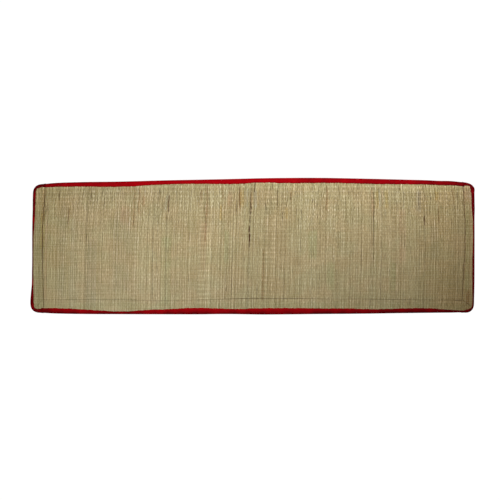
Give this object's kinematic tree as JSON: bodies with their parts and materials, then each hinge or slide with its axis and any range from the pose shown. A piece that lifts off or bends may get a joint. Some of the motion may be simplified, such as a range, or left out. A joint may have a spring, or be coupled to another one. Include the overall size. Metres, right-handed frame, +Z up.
{
  "type": "foldable floor mat",
  "caption": "Long flat floor mat of woven reed, lightly padded, with cotton tape folded round its edges and soft fold creases across it.",
  "frame": {"origin": "under the middle of the mat, on the surface that it lies on", "axes": "+X runs along the mat, +Y across it to the back edge, +Z up through its thickness"},
  "size_m": [1.9899, 0.6124, 0.012],
  "materials": {
    "woven_reed": "dry straw-coloured reed stalks with greenish and brown ones among them, woven on thin cotton warps",
    "cotton_tape": "matt plain-woven red cotton tape, darker where it turns round the edge"
  },
  "bodies": {
    "root": {"reed_panel": "woven_reed", "binding_back": "cotton_tape", "binding_front": "cotton_tape", "binding_left": "cotton_tape", "binding_right": "cotton_tape"}
  },
  "joints": []
}
